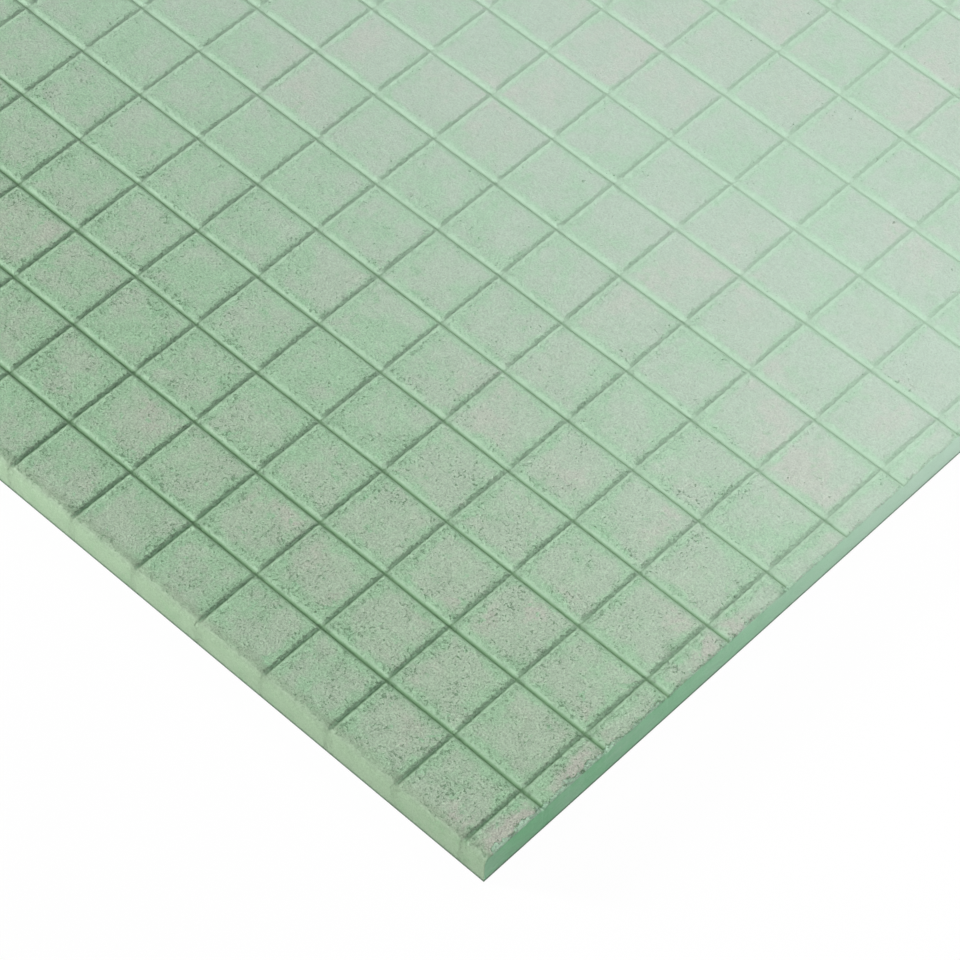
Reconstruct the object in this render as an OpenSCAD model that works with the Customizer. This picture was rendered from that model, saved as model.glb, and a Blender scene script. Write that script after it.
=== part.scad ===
// Fiber cement backer board: one flat sheet, scored on its tile face with a
// square grid of shallow V grooves that run out through all four edges.
// The sheet lies flat on its back, centred on the origin, with +X along its
// length and +Z up through the tile face.

/* [Sheet] */
// Length of the sheet
board_length = 1524; // [300:0.1:3048]
// Width of the sheet
board_width = 914.4; // [300:0.1:1524]
// Thickness, from the back to the tile face
board_thickness = 10.7; // [6:0.1:16]

/* [Scored grid] */
// Distance from one groove to the next, both ways
grid_pitch = 25.4; // [20:0.1:100]
// From the front long edge to the first lengthwise groove
front_margin = 24; // [5:0.1:100]
// From the right end to the first crosswise groove
end_margin = 8.1; // [5:0.1:100]
// Narrowest strip that is left between a groove and an edge
least_strip = 1.2; // [0.5:0.1:10]

/* [Grooves] */
// Width of a lengthwise groove at the tile face
long_groove_width = 2.8; // [1:0.1:6]
// Depth of a lengthwise groove at the bottom of its V
long_groove_depth = 1; // [0.2:0.01:3]
// Width of a crosswise groove at the tile face
cross_groove_width = 3.2; // [1:0.1:6]
// Depth of a crosswise groove at the bottom of its V
cross_groove_depth = 0.8; // [0.2:0.01:3]

/* [Edges] */
// Radius of the rounded corner between the tile face and each long edge
long_edge_radius = 3.5; // [0.5:0.1:5]

/* [Hidden] */
$fn = 48;
// How far a cutter reaches past the face that it cuts
overshoot = 1;

// Middles of the grooves across a span: a whole number of pitches from the
// first, up to the last one that leaves a sound strip along the far edge.
function groove_places(span, first, width) =
  [for (place = [first : grid_pitch : span - width / 2 - least_strip]) place];

// The three corners of one V, from left to right.
function groove_points(place, width, depth) = [
  [place - width / 2, board_thickness],
  [place, board_thickness - depth],
  [place + width / 2, board_thickness],
];

// Section of a sheet of this span, with its grooves in the upper face.
module scored_section(span, first, width, depth) {
  scored_face = [
    for (place = groove_places(span, first, width))
      for (point = groove_points(place, width, depth)) point
  ];
  polygon(concat(
    [[0, 0], [0, board_thickness]],
    scored_face,
    [[span, board_thickness], [span, 0]]
  ));
}

// The sheet with its lengthwise grooves only, counted from the front edge.
module lengthwise_scored() {
  translate([-board_length / 2, -board_width / 2, 0])
    rotate([90, 0, 90])
      linear_extrude(board_length)
        scored_section(board_width, front_margin,
                       long_groove_width, long_groove_depth);
}

// The sheet with its crosswise grooves only, counted from the right end.
module crosswise_scored() {
  translate([board_length / 2, -board_width / 2, 0])
    rotate([90, 0, 180])
      linear_extrude(board_width)
        scored_section(board_length, end_margin,
                       cross_groove_width, cross_groove_depth);
}

// What comes off one long edge to round it. Side is -1 for the front edge
// and 1 for the back edge.
module long_edge_cutter(side) {
  mirror([0, side > 0 ? 1 : 0, 0])
    translate([-board_length / 2 - overshoot, -board_width / 2, board_thickness])
      difference() {
        translate([0, -overshoot, -long_edge_radius])
          cube([board_length + 2 * overshoot,
                long_edge_radius + overshoot,
                long_edge_radius + overshoot]);
        translate([-overshoot, long_edge_radius, -long_edge_radius])
          rotate([0, 90, 0])
            cylinder(h = board_length + 4 * overshoot, r = long_edge_radius);
      }
}

// Where both sets of grooves cross, the deeper one keeps its full depth.
module board() {
  color([0.66, 0.73, 0.65])
    difference() {
      intersection() {
        lengthwise_scored();
        crosswise_scored();
      }
      long_edge_cutter(-1);
      long_edge_cutter(1);
    }
}

board();
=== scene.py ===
# %% [markdown]
# # A scored fibre cement board
#
# The board is one flat sheet of pressed fibre cement, 5 ft by 3 ft, with a square
# grid of shallow V grooves in its tile face. A tiler snaps or cuts it along those
# grooves. The exact solid comes from the CAD frame; this lesson gives the sheet the
# surface of the real thing: soft shoulders on the grooves, crumbly cut ends, and a
# sanded, mottled, pitted finish.

# %% Open the frame
import math

import bpy
import numpy as np
from mathutils import Matrix, Vector


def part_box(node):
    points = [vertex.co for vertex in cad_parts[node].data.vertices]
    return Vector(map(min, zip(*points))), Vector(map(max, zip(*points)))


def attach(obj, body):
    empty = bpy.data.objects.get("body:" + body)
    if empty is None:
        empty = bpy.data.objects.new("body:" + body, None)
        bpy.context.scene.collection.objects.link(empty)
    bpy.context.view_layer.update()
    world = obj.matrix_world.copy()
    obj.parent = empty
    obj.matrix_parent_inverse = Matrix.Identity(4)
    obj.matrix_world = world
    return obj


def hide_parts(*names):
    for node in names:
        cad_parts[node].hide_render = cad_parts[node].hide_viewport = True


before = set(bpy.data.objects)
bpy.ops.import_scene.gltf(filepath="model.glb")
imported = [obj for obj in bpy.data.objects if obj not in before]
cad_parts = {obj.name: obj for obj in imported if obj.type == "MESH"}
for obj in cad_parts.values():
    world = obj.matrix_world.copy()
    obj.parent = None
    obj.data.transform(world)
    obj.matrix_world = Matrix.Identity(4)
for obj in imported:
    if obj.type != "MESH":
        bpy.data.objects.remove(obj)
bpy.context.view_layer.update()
low, high = np.array(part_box("board"))
length, width, thickness = high - low
print(f"sheet {length:.4f} x {width:.4f} x {thickness:.4f} m")

# %% [markdown]
# ## The camera
#
# The view looks down on one corner of the sheet, past which nothing is seen but the
# floor. A long lens keeps the grid nearly square to the eye. The camera is placed by
# the point it aims at, a few squares in from the corner, its direction and distance.

# %% Place the camera
MM = 0.001
grid_pitch = 25.4 * MM
corner = np.array([high[0], low[1], high[2]])
aim = corner + np.array([-3.4646, 3.6047, 0]) * grid_pitch
azimuth = math.radians(40.524)
elevation = math.radians(53.589)
roll = math.radians(3.384)
distance = 1.1667
lens = 152.97

camera_data = bpy.data.cameras.new("camera")
camera_data.lens = lens
camera_data.sensor_width = 36
camera = bpy.data.objects.new("camera", camera_data)
bpy.context.scene.collection.objects.link(camera)
bpy.context.scene.camera = camera
away = Vector((
    math.sin(azimuth) * math.cos(elevation),
    -math.cos(azimuth) * math.cos(elevation),
    math.sin(elevation),
))
turned = (-away).to_track_quat("-Z", "Y").to_matrix() @ Matrix.Rotation(roll, 3, "Z")
camera.matrix_world = Matrix.Translation(Vector(aim) + away * distance) @ turned.to_4x4()
print("camera at", [round(value, 3) for value in camera.location])

# %% [markdown]
# ## Where the grooves run
#
# The CAD solid already holds every groove, so their places are read from it: the
# corners of the solid that lie at a groove's full depth are the ends of its V.

# %% Read the groove lines from the solid
long_depth, cross_depth = 1.0 * MM, 0.8 * MM
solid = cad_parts["board"]
corners = np.empty(len(solid.data.vertices) * 3)
solid.data.vertices.foreach_get("co", corners)
corners = corners.reshape(-1, 3)


def groove_lines(axis, depth):
    """Middles of the grooves of this depth, as places along one axis."""
    at_depth = np.abs(corners[:, 2] - (high[2] - depth)) < 0.01 * MM
    return np.unique(corners[at_depth, axis].round(5))


cross_lines = groove_lines(0, cross_depth)
long_lines = groove_lines(1, long_depth)
print(len(cross_lines), "crosswise grooves", len(long_lines), "lengthwise grooves")
print(cross_lines[:3], cross_lines[-3:], long_lines[:3], long_lines[-3:])

# %% [markdown]
# ## The pressed surface as a height rule
#
# One rule gives the height of the top at any place on the sheet: the flat face, less
# the rounding of the long edges, less the deeper of the two grooves there. A V with
# worn shoulders has a wall that is straight near the bottom and eases off in a long arc
# until it meets the face. Its bottom leans to one side. These widths, depths and leans
# are judged by how the light falls in the grooves, and none of them was measured. Every
# ring and row of the mesh asks this rule for its height, so nothing has to be fitted
# afterwards.
#
# The grooves also grow shallower toward the middle of the sheet, and further on the
# colour gets paler and the grain finer in the same way. A real sheet is most likely
# even. The fade stands for haze and soft focus in the view of it, which neither lamps
# nor lens give here. Setting the strength of the fade to 0 gives the even sheet.

# %% The height rule
long_edge_radius = 2.2 * MM
# Strength of the fade, where the colour's fade begins and where every fade ends, in
# millimetres from a long edge, and the share of a groove's depth that it takes away,
# which grows from the edge itself.
fade_strength = 1.0
fade_start, fade_end = 20, 240
shallowing = 0.42
# How far a groove reaches before and after its line, how far its bottom leans over,
# and its depth.
long_groove = (1.65 * MM, 2.1 * MM, -0.42 * MM, 0.95 * MM)
cross_groove = (1.95 * MM, 1.95 * MM, -0.4 * MM, 0.6 * MM)
straight_share = 0.42


def groove_depth(place, lines, before, after, lean, depth):
    """Depth below the face at places along one axis, from the nearest groove."""
    apart = place[..., None] - lines
    nearest = np.abs(apart).argmin(axis=-1)[..., None]
    across = np.take_along_axis(apart, nearest, axis=-1)[..., 0] - lean
    share = np.abs(across) / np.where(across < 0, before + lean, after - lean)
    slope = 2 / (1 + straight_share)
    arc = slope * (1 - share) ** 2 / (2 * (1 - straight_share))
    below = np.where(share > straight_share, arc, 1 - slope * share)
    return depth * np.where(share > 1, 0, below)


def top_height(x, y):
    """Height of the tile face at any place on the sheet."""
    inward = np.minimum(y - low[1], high[1] - y)
    short = np.clip(long_edge_radius - inward, 0, long_edge_radius)
    rounding = long_edge_radius - np.sqrt(long_edge_radius**2 - short**2)
    cross = groove_depth(x, cross_lines, *cross_groove)
    along = groove_depth(y, long_lines, *long_groove)
    fade = fade_strength * np.clip(inward / (fade_end * MM), 0, 1)
    return high[2] - np.maximum(rounding, np.maximum(cross, along) * (1 - shallowing * fade))


print("face", round(float(top_height(np.array(0.003), np.array(0.012))), 5))

# %% [markdown]
# ## The tile face as a grid of rows
#
# A regular grid would need millions of faces before it caught a 3 mm groove. Here the
# rows follow the grooves: five close rows to each, and none is spent on the flat
# square between two of them. The same rows run both ways, so a crossing gets
# its own small patch of faces.

# %% Rows that follow the grooves
rng = np.random.default_rng(11)
end_inset, long_inset = 3.2 * MM, 4.2 * MM


def groove_rows(lines, groove):
    """Places of the five rows of every groove."""
    before, after, lean, _ = groove
    low_wall = lean - straight_share * (before + lean)
    high_wall = lean + straight_share * (after - lean)
    return (lines[:, None] + [-before, low_wall, lean, high_wall, after]).ravel()


def rows_along(lines, groove, start, end):
    """Places of the rows: five to a groove, and one at each end."""
    return np.concatenate([[start], np.sort(groove_rows(lines, groove)), [end]])


x_rows = rows_along(cross_lines, cross_groove, low[0] + end_inset, high[0] - end_inset)
y_rows = rows_along(long_lines, long_groove, low[1] + long_inset, high[1] - long_inset)
print(len(x_rows), "by", len(y_rows), "rows,", 2 * (len(x_rows) - 1) * (len(y_rows) - 1), "triangles")

# %% [markdown]
# ## The rim
#
# The long edges are smooth and rounded, as if moulded. The ends look cut, so their
# upper edge crumbles in grains and small chips. The rim is made as
# rings that run round the sheet, from the face over the edge and down to the back,
# with a point every millimetre on the ends, which is close enough to carry the chips.

# %% Points round the rim
corner_reach = 5 * MM


def side_points(lines, groove, start, end, gap_aim):
    """Places along one side: the groove rows, the corners' close points, and fill."""
    close = corner_reach * np.array([0, 0.06, 0.14, 0.22, 0.3, 0.45, 0.7, 1])
    rows = groove_rows(lines, groove)
    inner = (rows > start + corner_reach) & (rows < end - corner_reach)
    fixed = np.sort(np.concatenate([start + close, rows[inner], end - close]))
    points = [fixed[0]]
    for place in fixed[1:]:
        first = points[-1]
        count = max(1, round((place - first) / gap_aim))
        steps = np.arange(1, count) + rng.uniform(-0.3, 0.3, count - 1)
        points.extend(first + (place - first) * steps / count)
        points.append(place)
    return np.array(points)


x_side = side_points(cross_lines, cross_groove, low[0], high[0], 5 * MM)
y_side = side_points(long_lines, long_groove, low[1], high[1], 0.9 * MM)
print(len(x_side), "points on a long side,", len(y_side), "on an end")

# %% [markdown]
# Each ring is the sheet's outline drawn in by its own distance. Near a corner the
# points are squeezed along with it, so that every ring has the same number of points
# and the next cell can join one ring to the next with plain four-sided faces.

# %% Rings of the rim
# Inward distance on the long sides and on the ends, and the drop below the face on
# the ends, where the arris is worn.
rim_rings = [
    (3.5 * MM, 2.7 * MM, 0),
    (2.8 * MM, 2.0 * MM, 0),
    (2.1 * MM, 1.4 * MM, 0),
    (1.4 * MM, 0.85 * MM, 0),
    (0.75 * MM, 0.4 * MM, 0.01 * MM),
    (0.2 * MM, 0.1 * MM, 0.08 * MM),
    (0, 0, 0.3 * MM),
]
# Height above the back, as a share of the thickness, and the inward distance.
side_rings = [(0.6, 0), (0.04, 0), (0, 0.4 * MM)]


def squeezed(points, inset):
    """The points of a side, drawn in at both corners by the inset."""
    start, end = points[0], points[-1]
    from_start = np.clip((points - start) / corner_reach, 0, 1)
    from_end = np.clip((end - points) / corner_reach, 0, 1)
    return points + inset * (1 - from_start) - inset * (1 - from_end)


def outline(long_inset, end_inset):
    """One ring, anticlockwise from the near left corner, as x and y places."""
    x = squeezed(x_side, end_inset)
    y = squeezed(y_side, long_inset)
    x_low, x_high = low[0] + end_inset, high[0] - end_inset
    y_low, y_high = low[1] + long_inset, high[1] - long_inset
    return np.concatenate([
        np.stack([x[:-1], np.full(len(x) - 1, y_low)], axis=1),
        np.stack([np.full(len(y) - 1, x_high), y[:-1]], axis=1),
        np.stack([x[:0:-1], np.full(len(x) - 1, y_high)], axis=1),
        np.stack([np.full(len(y) - 1, x_low), y[:0:-1]], axis=1),
    ])


plain_outline = outline(0, 0)
from_end = np.minimum(plain_outline[:, 0] - low[0], high[0] - plain_outline[:, 0])
from_long = np.minimum(plain_outline[:, 1] - low[1], high[1] - plain_outline[:, 1])
on_end = from_end < 1e-6
end_share = np.where(on_end, 1, np.clip(1 - from_end / (3 * MM), 0, 1))
print(len(plain_outline), "points in a ring")

# %% [markdown]
# ## Crumbs and chips
#
# Fibre cement breaks in grains. Along a cut end the edge loses a crumb every few
# millimetres, and a larger chip where it was knocked. A chip is a short half-ellipse
# bite that slopes down and outward from a small step. Its depth is drawn for every
# point of the ring, and the rings then sink by what the slope asks at their distance.

# %% How deep the edge is chipped
def bites(along, middle, half, depth):
    """Depth of half-ellipse bites at places along one edge."""
    reach = 1 - ((along[:, None] - middle) / half) ** 2
    return (depth * np.sqrt(np.clip(reach, 0, None))).max(axis=1)


def random_bites(along, count, half_lengths, depths):
    """Bites at random places along one edge."""
    middle = rng.uniform(along.min(), along.max(), count)
    return bites(along, middle, rng.uniform(*half_lengths, count), rng.uniform(*depths, count))


chip = np.abs(rng.normal(0, 0.07 * MM, len(plain_outline))) * np.where(on_end, 1, 0.2)
for x_end in (low[0], high[0]):
    here = np.abs(plain_outline[:, 0] - x_end) < 1e-6
    along = plain_outline[here, 1]
    crumbs = random_bites(along, 300, (0.5 * MM, 1.6 * MM), (0.05 * MM, 0.22 * MM))
    chips = random_bites(along, 24, (1 * MM, 2.5 * MM), (0.25 * MM, 0.5 * MM))
    chip[here] += np.maximum(crumbs, chips)
# Knocks near the corner: how far along the end, half their length, and their depth.
knocks = MM * np.array([
    (23, 1.6, 0.25),
    (34, 1.3, 0.3),
    (36.5, 1.6, 0.25),
    (40, 2, 0.3),
    (43, 1.4, 0.25),
])
here = np.abs(plain_outline[:, 0] - high[0]) < 1e-6
knocked = bites(plain_outline[here, 1] - low[1], *knocks.T)
chip[here] = np.maximum(chip[here], knocked * (1 + rng.normal(0, 0.35, len(knocked))))
print("deepest chip", round(chip.max() / MM, 2), "mm")


# %% Build the rings
def rim_ring(long_inset, end_inset, drop):
    """Points of one ring over the upper edge."""
    reach = 3 * chip + 1e-6
    slope = 0.35 + 0.65 * (1 - end_inset / reach)
    bitten = np.where(end_inset < reach, chip * slope, 0)
    place = outline(long_inset, end_inset)
    middle = (low[:2] + high[:2]) / 2
    inward = np.where(on_end[:, None], [[1, 0]], [[0, 1]]) * -np.sign(place - middle)
    place = place + inward * (0.4 * bitten)[:, None]
    height = top_height(place[:, 0], place[:, 1]) - drop * end_share - bitten
    return np.column_stack([place, height])


def side_ring(share, inset):
    """Points of one ring on the side faces, or round the back."""
    place = outline(inset, inset)
    return np.column_stack([place, np.full(len(place), low[2] + share * thickness)])


rings = [rim_ring(*ring) for ring in rim_rings] + [side_ring(*ring) for ring in side_rings]
print(len(rings), "rings, lowest rim point", round((high[2] - rings[6][:, 2].min()) / MM, 2), "mm down")

# %% [markdown]
# ## One closed mesh
#
# The face grid, the rings and a coarse grid for the back are separate point sets with
# different spacing. Two loops of different spacing are closed with a zip of
# triangles: walk both loops together and always step on the one that is behind.

# %% Face grid, with the unevenness of a pressed sheet
grid_x, grid_y = np.meshgrid(x_rows, y_rows, indexing="ij")
grid_z = top_height(grid_x, grid_y)


def per_crossing(spread):
    """A random amount for each crossing, given to all of its rows."""
    amount = rng.normal(0, spread, (len(cross_lines), len(long_lines)))
    amount = amount.repeat(5, axis=0).repeat(5, axis=1)
    return np.pad(amount, 1)


def face_corner_normals():
    """Normals of the rule at each corner of each face, taken just inside that face."""
    plain = np.stack([grid_x, grid_y], axis=-1)
    corners = [plain[:-1, :-1], plain[1:, :-1], plain[1:, 1:], plain[:-1, 1:]]
    corners = np.stack([corner.reshape(-1, 2) for corner in corners], axis=1)
    inside = corners + (corners.mean(axis=1, keepdims=True) - corners) * 0.02
    x, y = inside[..., 0], inside[..., 1]
    reach = 0.001 * MM
    slope_x = (top_height(x + reach, y) - top_height(x - reach, y)) / (2 * reach)
    slope_y = (top_height(x, y + reach) - top_height(x, y - reach)) / (2 * reach)
    normals = np.stack([-slope_x, -slope_y, np.ones_like(slope_x)], axis=-1)
    return normals / np.linalg.norm(normals, axis=-1, keepdims=True)


face_normals = face_corner_normals().reshape(-1, 3)
below = high[2] - grid_z
grid_z = high[2] - below * (1 + per_crossing(0.05))
grid_x = grid_x + per_crossing(0.06 * MM)
grid_y = grid_y + per_crossing(0.06 * MM)
face_points = np.stack([grid_x, grid_y, grid_z], axis=-1).reshape(-1, 3)

back_x = np.linspace(low[0] + 8 * MM, high[0] - 8 * MM, 31)
back_y = np.linspace(low[1] + 8 * MM, high[1] - 8 * MM, 19)
back_points = np.stack([*np.meshgrid(back_x, back_y, indexing="ij")], axis=-1).reshape(-1, 2)
back_points = np.column_stack([back_points, np.full(len(back_points), low[2])])


# %% Join them
def grid_faces(columns, rows, first):
    """Quads of a grid whose points start at this number, seen from above."""
    number = first + np.arange(columns * rows).reshape(columns, rows)
    corners = [number[:-1, :-1], number[1:, :-1], number[1:, 1:], number[:-1, 1:]]
    return np.stack([corner.ravel() for corner in corners], axis=1)


def grid_loop(columns, rows, first):
    """Point numbers round a grid's edge, anticlockwise from its first point."""
    number = first + np.arange(columns * rows).reshape(columns, rows)
    return np.concatenate([number[:-1, 0], number[-1, :-1], number[:0:-1, -1], number[0, :0:-1]])


def round_place(points):
    """How far round the sheet each point of a loop lies, from 0 to 4."""
    share = (points[:, :2] - low[:2]) / (high[:2] - low[:2])
    x_low, y_low = points[:, :2].min(axis=0) + 1e-6
    x_high, y_high = points[:, :2].max(axis=0) - 1e-6
    corner_numbers = [0, np.argmax(points[:, 0] - points[:, 1]), np.argmax(points[:, 0] + points[:, 1]),
                      np.argmax(points[:, 1] - points[:, 0])]
    place = np.empty(len(points))
    runs = [(0, share[:, 0]), (1, share[:, 1]), (2, 1 - share[:, 0]), (3, 1 - share[:, 1])]
    ends = corner_numbers[1:] + [len(points)]
    for (turn, along), start, end in zip(runs, corner_numbers, ends):
        place[start:end] = turn + along[start:end]
        place[start] = turn
    return np.append(place, 4)


def zip_loops(outer, inner, points):
    """Triangles between two loops, seen from above."""
    outer_place, inner_place = round_place(points[outer]), round_place(points[inner])
    outer, inner = np.append(outer, outer[0]), np.append(inner, inner[0])
    faces, i, j = [], 0, 0
    while i < len(outer) - 1 or j < len(inner) - 1:
        step_outer = j == len(inner) - 1 or (
            i < len(outer) - 1 and outer_place[i + 1] <= inner_place[j + 1])
        if step_outer:
            faces.append((outer[i], outer[i + 1], inner[j]))
            i += 1
        else:
            faces.append((outer[i], inner[j + 1], inner[j]))
            j += 1
    return faces


points = np.concatenate([face_points, *rings, back_points])
ring_length = len(plain_outline)
ring_start = len(face_points) + ring_length * np.arange(len(rings))
loops = [start + np.arange(ring_length) for start in ring_start]
faces = grid_faces(len(x_rows), len(y_rows), 0).tolist()
face_count = len(faces)
faces += zip_loops(loops[0], grid_loop(len(x_rows), len(y_rows), 0), points)
for upper, lower in zip(loops, loops[1:]):
    quads = [lower, np.roll(lower, -1), np.roll(upper, -1), upper]
    faces += np.stack(quads, axis=1).tolist()
back_start = ring_start[-1] + ring_length
back_loop = grid_loop(len(back_x), len(back_y), back_start)
faces += [face[::-1] for face in zip_loops(loops[-1], back_loop, points)]
faces += grid_faces(len(back_x), len(back_y), back_start)[:, ::-1].tolist()
triangles = sum(len(face) - 2 for face in faces)
print(len(points), "points,", triangles, "triangles")

# %% Make the board
board_mesh = bpy.data.meshes.new("fiber_cement_board")
board_mesh.from_pydata(points.tolist(), [], faces)
board_mesh.validate()
board_mesh.shade_smooth()
board_mesh.set_sharp_from_angle(angle=math.radians(50))
loop_normals = np.zeros((len(board_mesh.loops), 3))
loop_normals[:4 * face_count] = face_normals
board_mesh.normals_split_custom_set(loop_normals.tolist())
board = bpy.data.objects.new("fiber_cement_board", board_mesh)
bpy.context.scene.collection.objects.link(board)
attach(board, "root")
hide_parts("board")

# %% [markdown]
# ## Shader maths in plain sums
#
# A material is a graph of nodes, and sums read badly as nodes. So a small class wraps
# the output of a node, and +, -, * and / on it add the Math node that they stand for.
# Everything else is made by one method, which takes the kind of node, its settings and
# what goes into its sockets.

# %% A wire and a finish
class Wire:
    """An output of a node, on which sums can be written."""

    def __init__(self, finish, socket):
        self.finish = finish
        self.socket = socket

    def math(self, operation, first, second=0.0):
        return self.finish.node("ShaderNodeMath", {"operation": operation}, {0: first, 1: second})

    def __add__(self, other):
        return self.math("ADD", self, other)

    def __sub__(self, other):
        return self.math("SUBTRACT", self, other)

    def __rsub__(self, other):
        return self.math("SUBTRACT", other, self)

    def __mul__(self, other):
        return self.math("MULTIPLY", self, other)

    def __truediv__(self, other):
        return self.math("DIVIDE", self, other)

    def __abs__(self):
        return self.math("ABSOLUTE", self)

    __radd__ = __add__
    __rmul__ = __mul__

    def other(self, name):
        """Another output of the same node."""
        return Wire(self.finish, self.socket.node.outputs[name])


class Finish:
    """A node tree, and the one way in which its nodes are made."""

    def __init__(self, owner):
        owner.use_nodes = True
        self.tree = owner.node_tree
        self.tree.nodes.clear()

    def node(self, kind, settings=None, sockets=None, output=0):
        """A node of this kind, as the wire that leaves it."""
        made = self.tree.nodes.new(kind)
        for name, value in (settings or {}).items():
            setattr(made, name, value)
        for name, value in (sockets or {}).items():
            if isinstance(value, Wire):
                self.tree.links.new(value.socket, made.inputs[name])
            else:
                made.inputs[name].default_value = value
        return Wire(self, made.outputs[output]) if made.outputs else None


# %% Helpers on wires
def step(value, start, end):
    """A soft step from 0 at the start to 1 at the end."""
    ends = {"Value": value, "From Min": start, "From Max": end}
    return value.finish.node("ShaderNodeMapRange", {"interpolation_type": "SMOOTHSTEP"}, ends)


def least(first, second):
    return first.math("MINIMUM", first, second)


def most(first, second):
    return first.math("MAXIMUM", first, second)


def blend(share, under, over):
    """A colour that goes from one to the other as the share goes from 0 to 1."""
    settings = {"data_type": "RGBA"}
    return share.finish.node("ShaderNodeMix", settings, {0: share, 6: under, 7: over}, 2)


def lightened(colour, amount):
    """A colour with its brightness multiplied by an amount."""
    settings = {"operation": "SCALE"}
    return colour.finish.node("ShaderNodeVectorMath", settings, {0: colour, "Scale": amount})


def noise(place, size, detail=2.0, roughness=0.5):
    """Soft noise around 0, about -1 to 1, whose lumps have this size in millimetres."""
    sockets = {"Vector": place, "Scale": 1 / size, "Detail": detail, "Roughness": roughness}
    return (place.finish.node("ShaderNodeTexNoise", {}, sockets) - 0.5) * 2


print("wires ready")

# %% [markdown]
# ## Where a point of the sheet is
#
# Every part of the finish depends on place: how deep in a groove, how near to a groove
# line, how near to an edge. The wires below measure that in millimetres. The grid of
# grooves repeats, so one ping-pong node gives the distance to the nearest line.

# %% Places on the sheet
def sheet_places(finish):
    """Wires that say where a point is, in millimetres."""
    place = finish.node("ShaderNodeTexCoord", output="Object")
    place = finish.node("ShaderNodeVectorMath", {"operation": "SCALE"}, {0: place, "Scale": 1 / MM})
    x = finish.node("ShaderNodeSeparateXYZ", {}, {0: place})
    y, z = x.other("Y"), x.other("Z")
    pitch = grid_pitch / MM
    near_cross = x.math("PINGPONG", x - cross_lines[0] / MM, pitch / 2)
    near_long = x.math("PINGPONG", y - long_lines[0] / MM, pitch / 2)
    facing = finish.node("ShaderNodeNewGeometry", output="True Normal")
    facing_x = finish.node("ShaderNodeSeparateXYZ", {}, {0: facing})
    from_side = float(width / MM / 2) - abs(y)
    return {
        "place": place,
        "grain": noise(place, 0.6, 3, 0.85),
        "coarse": noise(place, 1.7, 2, 0.6),
        "teeth": noise(place, 1.1, 3, 0.7),
        "below": float(thickness / MM) - z,
        "above_back": z,
        "from_end": float(length / MM / 2) - abs(x),
        "from_side": from_side,
        "past_long": x.math("FLOORED_MODULO", y - long_lines[0] / MM, pitch),
        "near_cross": near_cross,
        "near_long": near_long,
        "from_line": least(near_cross, near_long),
        "fade": step(from_side, fade_start, fade_end) * fade_strength,
        "end_facing": step(abs(facing_x), 0.35, 0.75),
        "down_facing": step(facing_x.other("Z"), -0.5, -0.8),
    }


# %% [markdown]
# ## The colour of the tile face
#
# The cut ends are green too, so the sheet is taken to be tinted all through. The middle
# of each square has a thin grey skin, warmer in patches, as sanding could leave it, and
# the green shows near the grooves. They are blended by the distance to the nearest
# groove, which wanders with soft noise, so that no square looks like the next. Here and
# there the skin is rubbed through to a clear green. The three pale colours belong to
# the fade toward the middle, and an even sheet doesn't use them.

# %% Colour of the tile face
green_skin = (0.300, 0.486, 0.308, 1)
grey_skin = (0.360, 0.472, 0.346, 1)
warm_skin = (0.428, 0.452, 0.378, 1)
rubbed_skin = (0.262, 0.470, 0.285, 1)
pale_skin = (0.452, 0.560, 0.486, 1)
pale_warm = (0.480, 0.556, 0.494, 1)
pale_green = (0.412, 0.572, 0.452, 1)


def face_colour(at):
    """Colour of the sanded face."""
    place, fade = at["place"], at["fade"]
    drift = noise(place, 34, 2)
    cloud = noise(place, 9, 4, 0.65)
    rub = noise(place, 5.5, 4, 0.7)
    by_edge = (1 - fade) * step(at["from_end"], 40, 190)
    inner = step(at["from_line"], 0.8, 5.6 - fade * 2.6)
    greyness = step(inner * 0.42 + cloud + drift * 0.5 - by_edge * 0.22, -0.08, 0.5)
    warmth = drift * 0.8 - cloud * 0.9 + at["coarse"] * 0.12 - by_edge * 0.14
    warmth = step(warmth - step(at["from_end"], 4, 12) * 0.1 + 0.1, 0.02, 0.36)
    near_edge = blend(greyness, green_skin, blend(warmth, grey_skin, warm_skin))
    inside = blend(greyness, pale_green, blend(warmth, pale_skin, pale_warm))
    skin = blend(fade * 0.75, near_edge, inside)
    rubbed = step(rub - inner * 0.07 + by_edge * 0.06, 0.10, 0.34) * (0.85 - fade * 0.65)
    skin = blend(rubbed, skin, rubbed_skin)
    speckle = at["grain"] * 0.8 + at["coarse"] * 0.2
    return lightened(skin, speckle * (1 - fade * 0.62) + 1)


# %% [markdown]
# ## The grooves
#
# The walls of a groove are smooth, closed and green, and their bottom is painted darker
# as painted shade. The crosswise grooves have torn shoulders, and the lengthwise ones
# are crisp. The tearing is a small step in the relief whose line wanders in and out.
# Where two grooves cross, the crosswise one is partly shut. A second roller that runs
# across the fibres could do both, but how the grooves are really pressed isn't known.
# The cut ends lose their upper edge in a ragged band, and a dark line painted along its
# inner limit is painted shadow under the small step.

# %% Colour and shoulders of the grooves
groove_green = (0.312, 0.468, 0.315, 1)
groove_pale = (0.458, 0.620, 0.494, 1)
# The darkest groove colour is painted shade for the bottom of a groove.
groove_bottom_shade = (0.108, 0.245, 0.104, 1)


def groove_colour(at):
    """Colour of the groove walls, painted darker at the bottom as painted shade."""
    wall = blend(at["fade"] * 0.75, groove_green, groove_pale)
    # The bottom of a groove is painted darker: painted shade.
    bottom = step(at["below"] + at["grain"] * 0.1, 0.3, 0.7) * (0.8 - at["fade"] * 0.55)
    return blend(bottom, wall, groove_bottom_shade)


def groove_share(at):
    """1 in a groove and 0 on the face, with a slightly ragged limit."""
    return step(at["below"] + at["grain"] * 0.25 + at["coarse"] * 0.15, 0.04, 0.5)


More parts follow.
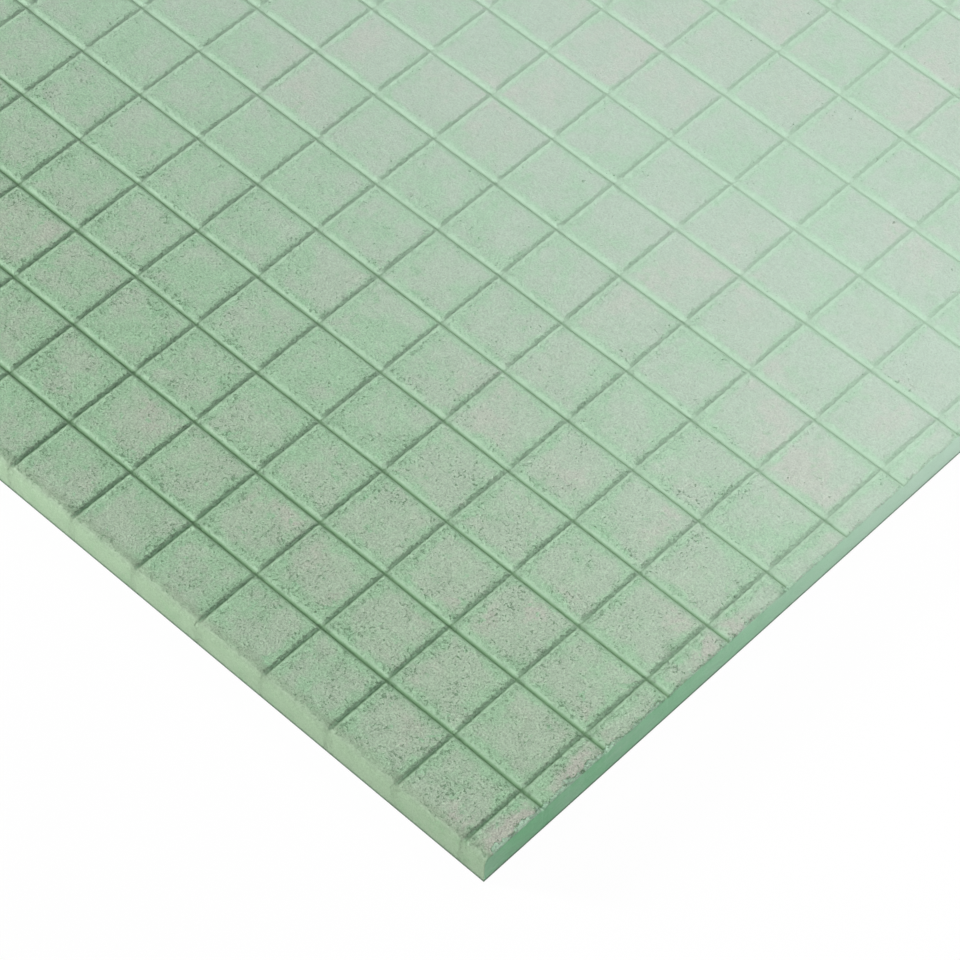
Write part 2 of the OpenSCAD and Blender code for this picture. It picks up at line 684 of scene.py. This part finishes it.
def torn_shoulders(at):
    """Height lost along the torn shoulders, in millimetres."""
    ragged = at["teeth"] * 3.2 + at["coarse"] * 1.6
    cross = 1 - step(at["near_cross"] + ragged, 0.55, 1.35)
    along = 1 - step(at["near_long"] + ragged * 0.2, 0.7, 1.3)
    return most(cross * 0.42, along * 0.08) * (1 - at["fade"] * 0.82)


def closed_crossings(at):
    """How far the crosswise groove is shut at a crossing."""
    on_cross = 1 - step(at["near_cross"], 0.2, 3.0)
    pushed = 1 - step(at["past_long"] + at["teeth"] * 2, 0.5, 5.0)
    on_top = step(at["from_side"], 4, 7) * step(at["from_end"], 4, 7)
    return most(pushed * 0.75, (1 - step(at["near_long"], 0.5, 2.6)) * 0.6) * on_cross * on_top


def crumbled_edge(at):
    """Millimetres from the ragged line to which the edge of a cut end has crumbled."""
    ragged = noise(at["place"], 5, 3, 0.7) * 3.0 + at["teeth"] * 1.8
    knocked = (1 - step(at["from_side"], 25, 80)) * 0.7
    return at["from_end"] + ragged - knocked + (1 - step(at["from_side"], 2.5, 4)) * 4


# %% [markdown]
# ## Grain, pits and crumbs
#
# Grains and fibre ends have come out of the face. They leave ragged pits of half a
# millimetre, which crowd along the grooves and the cut ends, and in loose spots between
# them. They are the peaks of a rough noise, cut off at a height that falls where the
# skin is taken to be loose. The pits are painted dark green, which is painted shade in
# the hollows.

# %% Pits and grain
# The dark green of the pits and of the line along the crumbled band is painted shade.
shade_green = (0.105, 0.235, 0.115, 1)


def pits_in(at, groove):
    """How deep a point is in a pit, 0 to 1, with more pits near the grooves."""
    rough = noise(at["place"], 0.85, 3, 0.75)
    near_groove = 1 - step(at["from_line"], 1.2, 6)
    near_end = 1 - step(at["from_end"], 0.8, 3.5)
    spots = noise(at["place"], 7, 3) * 0.25
    loose = near_groove * 0.06 + near_end * 0.08 + spots - at["fade"] * 0.2
    return step(rough + loose, 0.17, 0.36) * (1 - groove * 0.8)


def grain_height(at, groove):
    """Fine relief of the sanded face, in millimetres."""
    fine = at["grain"] * 0.24 + at["coarse"] * 0.16
    pressed = groove * step(at["near_cross"], 1.4, 2.2)
    return fine * (1 - pressed * 0.45) * (1 - at["fade"] * 0.6)


# %% [markdown]
# ## The cut ends, the long edges and the back
#
# The ends show the clear green core, in soft clouds and thin layers, with paler powder
# where the upper edge has crumbled. The long edges are closed, but for a few sandy
# spots. The foot of every side is painted dark, which is painted contact shadow where
# the sheet meets the floor. The back is plain cement, which is a guess, because such a
# sheet is seldom seen from below.

# %% Colour of the sides and the back
core_green = (0.190, 0.478, 0.252, 1)
core_grey = (0.300, 0.500, 0.345, 1)
core_pale = (0.400, 0.525, 0.440, 1)
chip_powder = (0.400, 0.600, 0.445, 1)
edge_skin = (0.275, 0.370, 0.250, 1)
edge_green = (0.215, 0.350, 0.205, 1)
# Nearly black green for the foot of every side: painted contact shadow.
contact_shade = (0.040, 0.090, 0.050, 1)
back_grey = (0.360, 0.420, 0.350, 1)


def core_colour(at):
    """Colour of the cut core, in thin layers along the sheet."""
    place = at["place"]
    stretched = place.finish.node("ShaderNodeVectorMath", {"operation": "MULTIPLY"},
                                  {0: place, 1: (0.15, 0.15, 1.2)})
    layers = noise(stretched, 1.4, 2) * 0.3 + noise(place, 20, 3) * 0.8 + at["coarse"] * 0.2
    core = blend(step(layers, -0.3, 0.7), core_green, core_grey)
    core = blend(at["fade"] * 0.9, core, core_pale)
    return lightened(core, at["grain"] * 0.12 + 1)


def powder_colour(at):
    """Colour of the powder in the crumbled edge."""
    powder = blend(step(at["coarse"], -0.3, 0.3), chip_powder, core_grey)
    return lightened(powder, at["grain"] * 0.9 + at["coarse"] * 0.3 + 1)


def edge_colour(at):
    """Colour of the moulded long edges."""
    cloud = noise(at["place"], 7, 4, 0.65) + at["coarse"] * 0.3
    edge = blend(step(cloud, 0.05, 0.6), edge_skin, edge_green)
    return lightened(edge, at["grain"] * 0.6 + at["coarse"] * 0.2 + 1)


# %% The whole finish of the board
def fibre_cement():
    """Material of the board: face, grooves, cut ends, long edges and back."""
    material = bpy.data.materials.new("fibre_cement")
    finish = Finish(material)
    at = sheet_places(finish)
    groove = groove_share(at)
    pits = pits_in(at, groove)
    colour = blend(groove, face_colour(at), groove_colour(at))
    wander = noise(at["place"], 5, 3, 0.6) * 1.6 + at["coarse"] * 1.2
    moulded = (1 - step(at["from_side"] + wander, 1.5, 5.5)) * 0.75
    colour = blend(moulded, colour, edge_colour(at))
    # The pits are painted dark: painted shade in the hollows.
    colour = blend(pits * (0.8 - moulded * 0.3), colour, shade_green)
    past_crumbs = crumbled_edge(at)
    crumbled = (1 - step(past_crumbs, 0.4, 0.7)) * (1 - at["fade"] * 0.6)
    colour = blend(crumbled * 0.85, colour, powder_colour(at))
    # A dark line painted just inside the crumbled band: painted shadow under the step.
    torn_shadow_line = (1 - step(past_crumbs, 0.8, 1.3)) * (1 - crumbled)
    torn_shadow_line = torn_shadow_line * step(at["teeth"] + at["coarse"] * 0.6, -0.1, 0.15)
    colour = blend(torn_shadow_line * (0.9 - at["fade"] * 2), colour, shade_green)
    colour = blend(at["end_facing"], colour, core_colour(at))
    colour = blend(at["down_facing"], colour, back_grey)
    # The foot of every side is painted dark: painted contact shadow at the floor.
    foot = 1 - step(at["above_back"] + at["coarse"] * 0.25, 1.0, 1.7)
    colour = blend(foot * (0.85 - at["down_facing"] * 0.85), colour, contact_shade)
    height = grain_height(at, groove) * (1 - moulded * 0.3) - pits * 0.25
    closed = closed_crossings(at)
    height = height - torn_shoulders(at) * (1 - moulded) * (1 - closed)
    height = height + at["below"] * closed - crumbled * (0.3 - at["end_facing"] * 0.3)
    bump = finish.node("ShaderNodeBump", {}, {"Height": height, "Distance": MM, "Strength": 1.0})
    shader = finish.node("ShaderNodeBsdfPrincipled", {}, {
        "Base Color": colour,
        "Roughness": at["coarse"] * 0.05 + 0.7,
        "Normal": bump,
    })
    finish.node("ShaderNodeOutputMaterial", {}, {"Surface": shader})
    return material


board_mesh.materials.append(fibre_cement())
print("material nodes", len(board_mesh.materials[0].node_tree.nodes))

# %% [markdown]
# ## Floor and light
#
# The board lies on a white floor. For the camera the floor is nearly pure white, and
# the little that is left of its own shading keeps the board's shadow.
#
# Five softboxes stand about the middle of the view. A low one to the left makes the
# grooves show, and the others lift the near corner, the cut end and the rest. Their
# places and powers were fitted to one view, so only the corner in that view is lit at
# the level of the colours. The far half of the sheet gets about half of that.

# %% Floor
whiteness = 0.97
floor_mesh = bpy.data.meshes.new("floor")
floor_mesh.from_pydata([(-30, -30, 0), (30, -30, 0), (30, 30, 0), (-30, 30, 0)], [], [(0, 1, 2, 3)])
floor = bpy.data.objects.new("floor", floor_mesh)
floor.location.z = low[2] - 0.05 * MM
bpy.context.scene.collection.objects.link(floor)


def seen_ray(finish):
    """1 for a ray of the camera or of a reflection, 0 for the light itself."""
    camera_ray = finish.node("ShaderNodeLightPath", output="Is Camera Ray")
    return most(camera_ray, camera_ray.other("Is Glossy Ray"))


def white_floor():
    """A floor that looks white and keeps a faint shadow."""
    material = bpy.data.materials.new("white_floor")
    finish = Finish(material)
    paint = finish.node("ShaderNodeBsdfDiffuse", {}, {"Color": (0.85, 0.85, 0.85, 1)})
    glow = finish.node("ShaderNodeEmission", {}, {"Color": (1, 1, 1, 1), "Strength": 1.0})
    share = seen_ray(finish) * whiteness
    surface = finish.node("ShaderNodeMixShader", {}, {0: share, 1: paint, 2: glow})
    finish.node("ShaderNodeOutputMaterial", {}, {"Surface": surface})
    return material


floor_mesh.materials.append(white_floor())
print("floor at", round(floor.location.z, 5))

# %% World
fill_light = 0.035
world = bpy.data.worlds.new("studio")
bpy.context.scene.world = world
studio = Finish(world)
strength = seen_ray(studio) * (1 - fill_light) + fill_light
background = studio.node("ShaderNodeBackground", {}, {"Color": (1, 1, 1, 1), "Strength": strength})
studio.node("ShaderNodeOutputWorld", {}, {"Surface": background})
bpy.context.scene.view_settings.view_transform = "Standard"
print("fill light", fill_light)

# %% Lamps
image_right = np.array([math.cos(azimuth), math.sin(azimuth), 0])
image_up = np.array([-math.sin(azimuth), math.cos(azimuth), 0])
upright = np.array([0, 0, 1])


def softbox(name, right, up, height, aim, size, power, spread=180):
    """A square softbox, placed and turned by distances from the middle of the view."""
    def place(distances):
        turned = distances[0] * image_right + distances[1] * image_up + distances[2] * upright
        return middle_of_view + turned
    lamp = bpy.data.lights.new(name, "AREA")
    lamp.shape = "SQUARE"
    lamp.size = size
    lamp.energy = power
    lamp.spread = math.radians(spread)
    light = bpy.data.objects.new(name, lamp)
    stand = place((right, up, height))
    light.location = stand
    light.rotation_euler = Vector(place(aim) - stand).to_track_quat("-Z", "Y").to_euler()
    bpy.context.scene.collection.objects.link(light)


middle_of_view = aim
softbox("key", -1.2, 0.05, 0.3, (-0.4, -0.05, 0), 0.2, 6.2, 90)
softbox("fill", 0.29, 0.34, 0.5, (0.29, 0.34, 0), 0.5, 2.85)
softbox("near", 0.1, -0.2, 0.35, (0.1, -0.08, 0), 0.25, 0.165, 90)
softbox("low", 0.42, -0.05, 0.05, (0.1, 0.0, 0), 0.08, 0.24, 120)
softbox("far", -0.5, 1.0, 1.5, (-0.5, 0.95, 0), 1.0, 2.1, 70)
